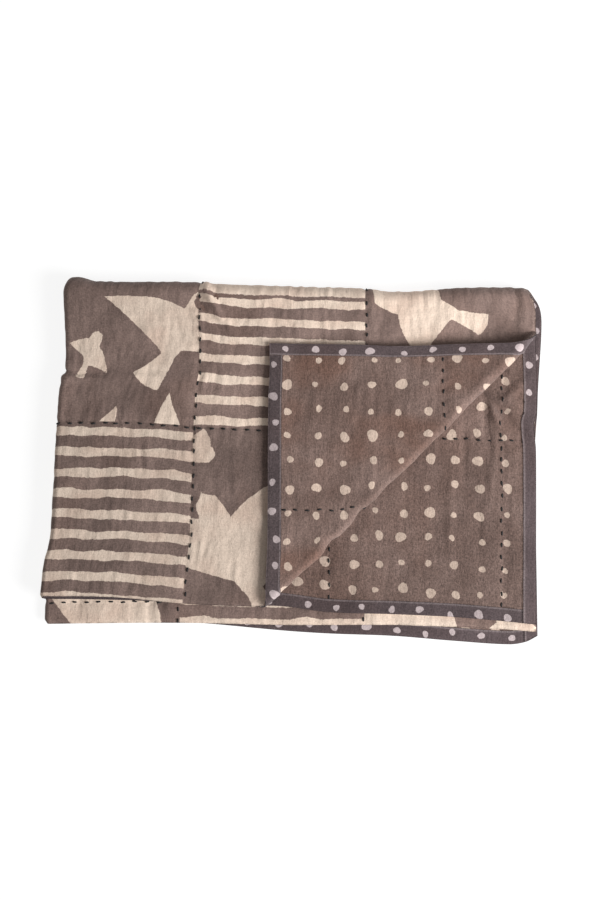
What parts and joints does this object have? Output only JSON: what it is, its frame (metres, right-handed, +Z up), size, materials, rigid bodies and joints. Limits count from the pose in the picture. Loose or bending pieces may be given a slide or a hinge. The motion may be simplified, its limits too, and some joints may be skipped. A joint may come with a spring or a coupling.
{
  "type": "folded patchwork baby quilt",
  "caption": "Patchwork quilt folded in four with a corner turned back to show its dotted backing, for bedding and throws",
  "frame": {"origin": "middle of the footprint, on the surface that the quilt lies on", "axes": "+X to the right along the long side, +Y to the back, where the second fold is, +Z up"},
  "size_m": [0.5048, 0.3672, 0.0387],
  "materials": {
    "patchwork": "block-printed cotton, matt",
    "backing": "dotted cotton, matt",
    "binding": "plain woven cotton with small dots, matt"
  },
  "bodies": {
    "root": {"quilt_top": "patchwork", "quilt_backing": "backing", "binding_end_upper": "binding", "binding_end_lower": "binding", "binding_side_front": "binding", "binding_side_back": "binding"}
  },
  "joints": []
}
